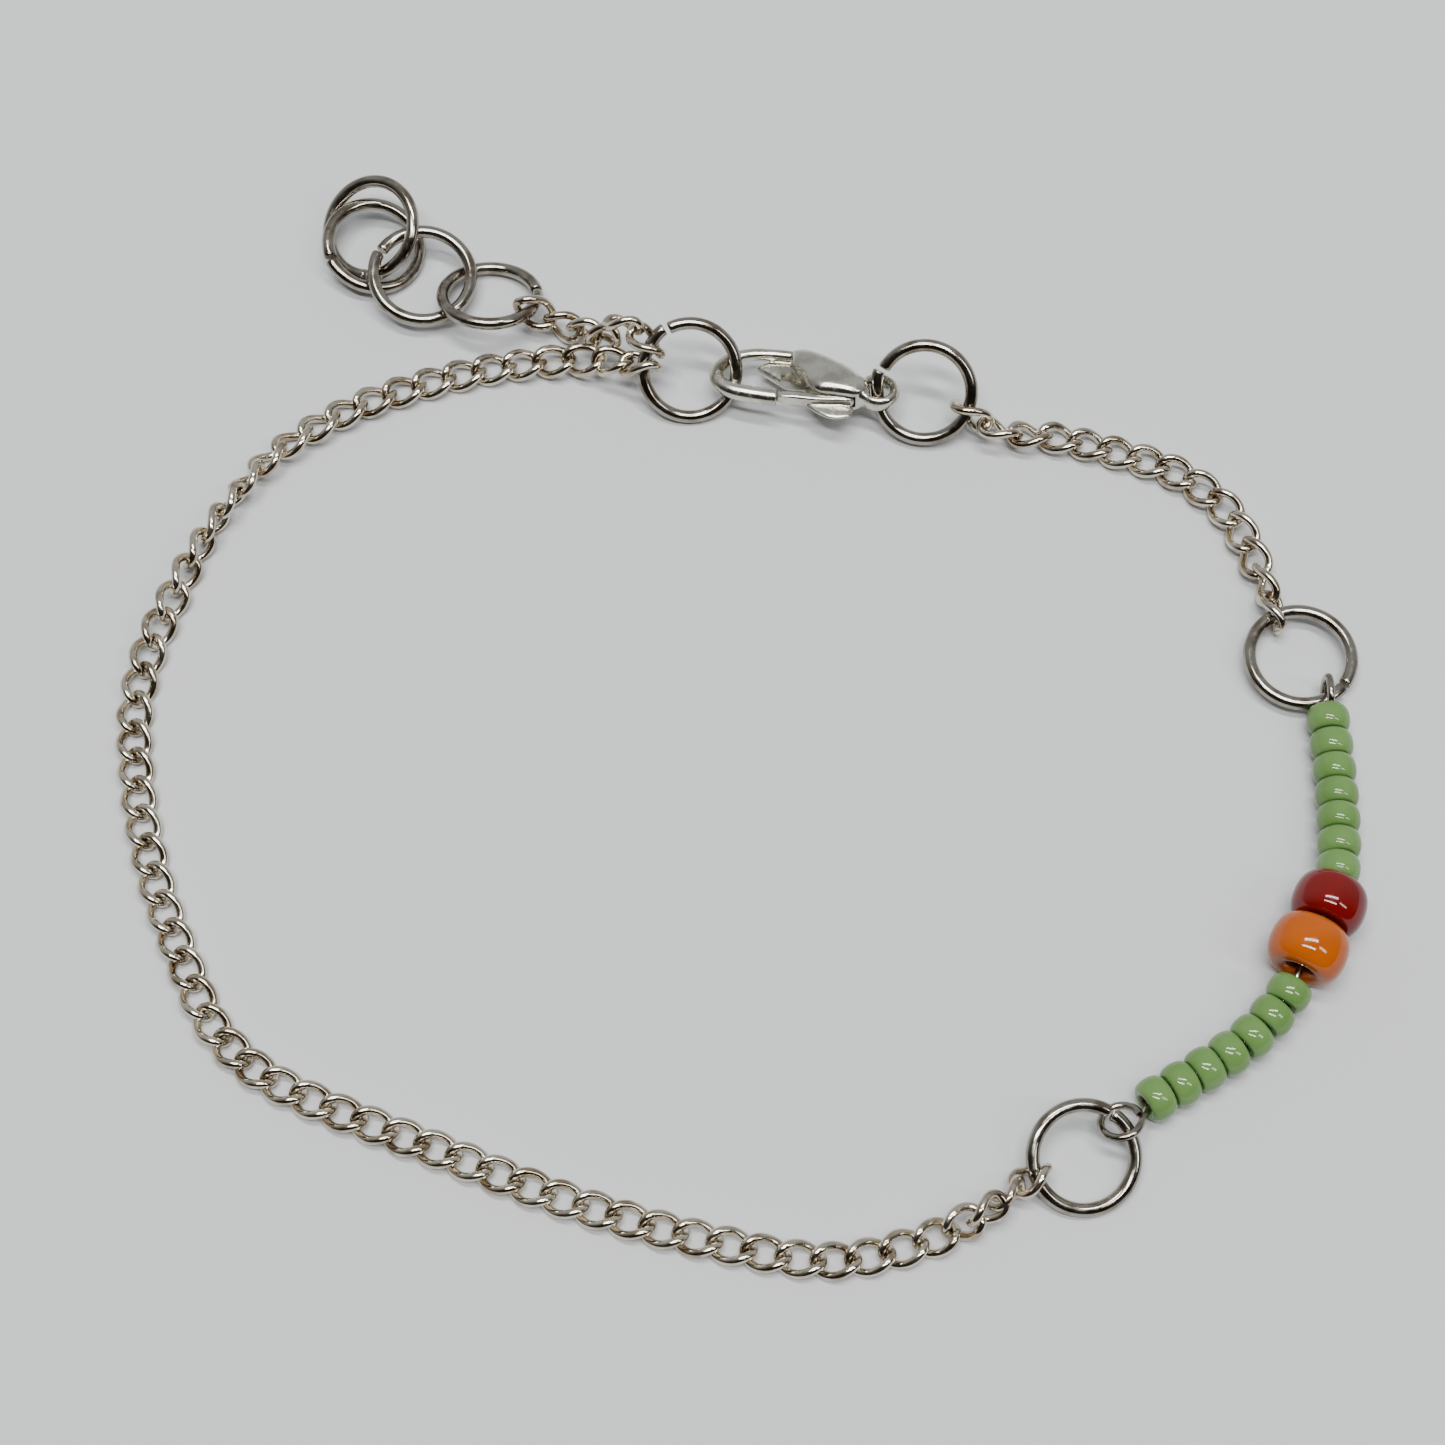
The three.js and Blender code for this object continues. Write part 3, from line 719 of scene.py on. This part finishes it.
# The casting's outlines as u and v, and the hook as u, v and the radius of its wire
CHEEK_OUTLINE = closed_outline([
    (-0.95, 2.28), (-0.3, 2.38), (0.3, 2.16), (1.1, 1.82), (2.1, 1.30), (3.0, 0.62), (3.4, 0.30),
    (3.35, -0.32), (2.85, -0.78), (1.4, -0.82), (0.65, -0.74), (0.15, -0.25), (-0.3, 0.45), (-1.0, 1.35),
])
NECK_OUTLINE = closed_outline([
    (2.4, 0.85), (3.3, 0.62), (3.5, 0.1), (3.45, -0.75), (2.9, -0.80), (2.5, -0.6),
])
WEB_OUTLINE = closed_outline([
    (-2.86, 1.30), (-2.45, 1.72), (-1.2, 1.95), (-0.2, 1.6), (0.3, 0.4), (-0.3, 0.1), (-1.4, 0.22),
], steps=4)
SLOT_OUTLINE = [
    (-1.45, -3.0), (2.66, -3.0), (2.72, -1.0), (2.82, -0.7), (2.84, -0.4), (2.76, -0.1), (2.5, 0.1),
    (2.1, 0.2), (1.4, 0.2), (0.4, 0.36), (-1.2, 1.0), (-1.45, 1.0),
]
HOOK_ROWS = np.array([
    (0.3, 1.75, 0.30), (-0.5, 2.06, 0.31), (-1.4, 2.13, 0.32), (-2.3, 2.12, 0.33), (-3.2, 2.00, 0.35),
    (-4.0, 1.68, 0.38), (-4.6, 1.18, 0.41), (-4.88, 0.55, 0.43), (-4.80, -0.08, 0.44),
    (-4.42, -0.52, 0.45), (-3.8, -0.76, 0.46), (-2.9, -0.89, 0.47), (-1.46, -0.98, 0.46),
])

# The lever's gate strip and thumb tab as u and v
STRIP_OUTLINE = closed_outline([
    (-1.44, -1.14), (-1.43, -0.80), (0.2, -0.72), (1.5, -0.62), (1.75, -0.12), (2.15, 0.0),
    (2.55, -0.14), (2.74, -0.50), (2.66, -0.92), (1.8, -1.08), (0.6, -1.18), (-0.6, -1.16),
], steps=8)
TAB_OUTLINE = closed_outline([
    (0.15, -1.15), (0.8, -1.68), (1.5, -1.96), (2.15, -1.92), (2.62, -1.66), (2.72, -1.2),
    (2.4, -0.7), (1.0, -0.8),
], steps=8)


def lobe(outline, middle, low, high, shoulder, steps=14):
    """A pillow on an outline: the point at share t from the middle to the outline stands at
    (1 - t to the power `shoulder`) to the power 1 / shoulder of the height, above and below."""
    t = np.sin(np.linspace(0, np.pi / 2, steps))[1:]
    rise = (1 - t**shoulder) ** (1 / shoulder)
    base = (low + high) / 2
    share = np.concatenate([t, t[-2::-1]])
    level = np.concatenate([base + (high - base) * rise, (base - (base - low) * rise)[-2::-1]])
    middle = np.asarray(middle, float)
    flat = middle + share[:, None, None] * (outline[None] - middle)
    vertices = np.concatenate([flat, np.broadcast_to(level[:, None, None], flat.shape[:2] + (1,))], -1)
    count = outline.shape[0]
    top, bottom = len(share) * count, len(share) * count + 1
    vertices = np.vstack([vertices.reshape(-1, 3), [*middle, high], [*middle, low]])
    corner = np.arange(count)
    following = (corner + 1) % count
    quads = grid_quads(len(share), count, wrap_columns=True)[:, ::-1]
    last = (len(share) - 1) * count
    first_fan = np.stack([np.full(count, top), corner, following], -1)
    last_fan = np.stack([np.full(count, bottom), last + following, last + corner], -1)
    return vertices, quads.tolist() + first_fan.tolist() + last_fan.tolist()


def tapered(surface, low_share, near, far):
    """The upper side of a pillow brought down by a share that grows with u from `low_share` at near to
    the whole height at far."""
    vertices, faces = surface
    share = low_share + (1 - low_share) * smooth_step(vertices[:, 0], near, far)
    vertices[:, 2] = np.where(vertices[:, 2] > 0, vertices[:, 2] * share, vertices[:, 2])
    return vertices, faces


def hook_surface(steps=10, sides=24):
    """Nearly round wire along the hook, thickest at its near arm and squared off at the tip. Its path
    and its radius are splines through the same rows."""
    path = through(np.column_stack([HOOK_ROWS[:, :2], np.zeros(len(HOOK_ROWS))]), steps)
    numbered = [HOOK_ROWS[:, 2], np.zeros(len(HOOK_ROWS)), np.arange(len(HOOK_ROWS))]
    radius = through(np.column_stack(numbered), steps)[:, 0]
    up = np.broadcast_to(UPWARDS, path.shape)
    return sweep(path, up, radius, sides, closed=False, flat=1.02)


def torus(u, v, radius, half_width, half_height, steps=48, sides=20):
    """A ring in the clasp's plane."""
    a = 2 * np.pi * np.arange(steps) / steps
    path = np.stack([u + radius * np.cos(a), v + radius * np.sin(a), np.zeros(steps)], -1)
    up = np.broadcast_to(UPWARDS, path.shape)
    return sweep(path, up, half_width, sides, closed=True, flat=half_height / half_width)


def post(u, v, diameter, length, sides=40):
    """A straight round pin through the clasp's thickness."""
    path = np.stack([np.full(2, u), np.full(2, v), np.array([-length / 2, length / 2])], -1)
    reference = np.broadcast_to(np.array([1.0, 0, 0]), path.shape)
    return sweep(path, reference, diameter / 2, sides, closed=False)


def prism(outline, low, high):
    """A straight-sided plate on an outline given anticlockwise."""
    outline = np.asarray(outline, float)
    count = len(outline)
    vertices = np.vstack([np.column_stack([outline, np.full(count, h)]) for h in (low, high)])
    corner = np.arange(count)
    following = (corner + 1) % count
    walls = np.stack([corner, following, following + count, corner + count], -1).tolist()
    return vertices, walls + [corner[::-1].tolist(), (corner + count).tolist()]


def work_in_modifiers(piece):
    """The piece's mesh becomes what its modifiers make of it."""
    bpy.context.view_layer.update()
    evaluated = piece.evaluated_get(bpy.context.evaluated_depsgraph_get())
    mesh = bpy.data.meshes.new_from_object(evaluated)
    piece.modifiers.clear()
    piece.data = mesh


def placed_in_clasp(piece):
    """A clasp piece with its mesh moved from the clasp's own u, v and w to the part's frame."""
    flat = np.empty(len(piece.data.vertices) * 3)
    piece.data.vertices.foreach_get("co", flat)
    plan = flat.reshape(-1, 3) @ CLASP_AXES.T + CLASP_PLACE
    piece.data.vertices.foreach_set("co", to_metres(plan).ravel())
    piece.data.update()
    return finished(piece, clasp_metal, sharp=42)


def cast_piece(name, surfaces, voxel, softening, cutters):
    """Closed surfaces fused into one casting on a fine grid, softened where they meet, then cut."""
    piece = raw_object(name, joined(surfaces))
    fuse = piece.modifiers.new("Fuse", "REMESH")
    fuse.mode = "VOXEL"
    fuse.voxel_size = voxel
    soften = piece.modifiers.new("Soften", "SMOOTH")
    soften.factor = 0.5
    soften.iterations = softening
    work_in_modifiers(piece)
    tools = [raw_object(f"{name}_cutter_{i}", cutter) for i, cutter in enumerate(cutters)]
    for tool in tools:
        cut = piece.modifiers.new("Cut", "BOOLEAN")
        cut.operation = "DIFFERENCE"
        cut.solver = "EXACT"
        cut.object = tool
    work_in_modifiers(piece)
    for tool in tools:
        bpy.data.objects.remove(tool)
    return placed_in_clasp(piece)


def clasp_body():
    """Hook, domed upper cheek, lower cheek, the web between them, eye and neck, slotted for the lever
    and drilled for the pin, whose ends stay under the casting's skin."""
    dome = lobe(CHEEK_OUTLINE, middle=(1.40, -0.05), low=-0.3, high=1.0, shoulder=2.6)
    surfaces = [
        hook_surface(),
        tapered(dome, low_share=0.62, near=-1.6, far=0.9),
        lobe(CHEEK_OUTLINE, middle=(1.1, 0.5), low=-1.0, high=0.1, shoulder=3.0),
        lobe(WEB_OUTLINE, middle=(-1.3, 1.0), low=-0.75, high=-0.08, shoulder=3.2),
        torus(u=3.95, v=0.06, radius=0.88, half_width=0.29, half_height=0.46),
        lobe(NECK_OUTLINE, middle=(2.9, 0.0), low=-0.62, high=0.62, shoulder=3.0),
    ]
    slot = prism(SLOT_OUTLINE, -LEVER_SLOT / 2, LEVER_SLOT / 2)
    bore = post(**PIN, diameter=BODY_BORE, length=PIN_LENGTH + BORE_PLAY)
    return cast_piece("clasp_body_cast", surfaces, voxel=0.045, softening=24, cutters=[slot, bore])


def clasp_lever():
    """The gate strip with its boss round the pin, and the low rounded thumb tab."""
    strip = lobe(STRIP_OUTLINE, middle=(1.2, -0.85), low=-0.37, high=0.37, shoulder=4.5)
    tab = lobe(TAB_OUTLINE, middle=(1.6, -1.3), low=-0.36, high=-0.02, shoulder=2.6)
    bore = post(**PIN, diameter=BODY_BORE + LEVER_PLAY, length=LEVER_BORE_LENGTH)
    return cast_piece("clasp_lever_cast", [strip, tab], voxel=0.035, softening=14, cutters=[bore])


def clasp_pin():
    """The round pin that the lever turns on."""
    surface = post(**PIN, diameter=PIN_DIAMETER, length=PIN_LENGTH)
    return placed_in_clasp(raw_object("clasp_pin_round", surface))


dress(clasp_body(), "clasp_body")
dress(clasp_lever(), "clasp_lever", body="lever")
dress(clasp_pin(), "clasp_pin")


# Table, lights and camera

# Table: half its side in metres, its colour and its roughness
TABLE_HALF = 5.0
TABLE_COLOUR = (0.60, 0.61, 0.615, 1)
TABLE_ROUGHNESS = 0.9

# Lamps: azimuth from the viewer's side, elevation, width and height in metres, and watts
LAMP_DISTANCE = 3.0
LAMPS = {
    "lamp_near": (-20, 76, 2.04, 0.27, 63),
    "lamp_far": (165, 84, 2.04, 0.27, 63),
    "lamp_right": (62, 50, 0.30, 1.32, 18),
}

# The room's colour on the viewer's side and on the far side, and where one passes into the other
NEAR_ROOM = (0.03, 0.027, 0.024, 1)
FAR_ROOM = (0.50, 0.52, 0.54, 1)
ROOM_TURNS_FROM, ROOM_TURNS_TO = -0.45, 0.6

# Camera: the photo's width and its focal length in pixels, and the nearest and farthest seen, in metres
FRAME_PIXELS = 1445
FOCAL_PIXELS = 3050
SENSOR_WIDTH = 36
CAMERA_DISTANCE = 158.6
CAMERA_TILT = 26.5
NEAREST_SEEN, FARTHEST_SEEN = 0.01, 5


def pale_table():
    """A plain pale table top."""
    h = TABLE_HALF
    corners = np.array([(-h, -h, 0), (h, -h, 0), (h, h, 0), (-h, h, 0)])
    material = bpy.data.materials.new("Pale table")
    material.use_nodes = True
    shader = material.node_tree.nodes["Principled BSDF"]
    shader.inputs["Base Color"].default_value = TABLE_COLOUR
    shader.inputs["Roughness"].default_value = TABLE_ROUGHNESS
    table = raw_object("table", (corners, [(0, 1, 2, 3)]))
    table.data.materials.append(material)


def area_light(name, azimuth, elevation, width, height, watts):
    """A rectangular lamp that faces the bracelet from a direction; azimuth 0 is the viewer's side."""
    light = bpy.data.lights.new(name, "AREA")
    light.shape = "RECTANGLE"
    light.size, light.size_y = width, height
    light.energy = watts
    a, e = np.radians(azimuth), np.radians(elevation)
    way = np.array([np.sin(a) * np.cos(e), -np.cos(a) * np.cos(e), np.sin(e)])
    matrix = np.eye(4)
    matrix[:3, :3] = turn_about("z", azimuth) @ turn_about("x", 90 - elevation)
    matrix[:3, 3] = way * LAMP_DISTANCE
    add_object(name, light).matrix_world = Matrix(matrix.tolist())


def dim_room():
    """The world: nearly dark on the viewer's side and grey on the far side, by the way's y."""
    world = bpy.data.worlds.new("Dim room")
    bpy.context.scene.world = world
    world.use_nodes = True
    tree = world.node_tree
    way = tree.nodes.new("ShaderNodeTexCoord")
    parts = tree.nodes.new("ShaderNodeSeparateXYZ")
    tree.links.new(way.outputs["Generated"], parts.inputs["Vector"])
    share = add_range(tree, parts.outputs["Y"], ROOM_TURNS_FROM, ROOM_TURNS_TO)
    near, far = tree.nodes.new("ShaderNodeRGB"), tree.nodes.new("ShaderNodeRGB")
    near.outputs[0].default_value = NEAR_ROOM
    far.outputs[0].default_value = FAR_ROOM
    colour = add_colour_mix(tree, share, near.outputs[0], far.outputs[0])
    tree.links.new(colour, tree.nodes["Background"].inputs["Color"])


def camera():
    """The photograph's camera. It looks at the plan's middle from CAMERA_TILT degrees off the vertical
    and CAMERA_DISTANCE millimetres away, on the viewer's side."""
    data = bpy.data.cameras.new("camera")
    data.sensor_width = SENSOR_WIDTH
    data.lens = data.sensor_width * FOCAL_PIXELS / FRAME_PIXELS
    data.clip_start, data.clip_end = NEAREST_SEEN, FARTHEST_SEEN
    view = add_object("camera", data)
    tilt = np.radians(CAMERA_TILT)
    place = to_metres(CAMERA_DISTANCE * np.array([0, -np.sin(tilt), np.cos(tilt)]))
    view.location = place.tolist()
    view.rotation_euler = (tilt, 0, 0)
    bpy.context.scene.camera = view


pale_table()
for lamp_name, lamp in LAMPS.items():
    area_light(lamp_name, *lamp)
dim_room()
camera()
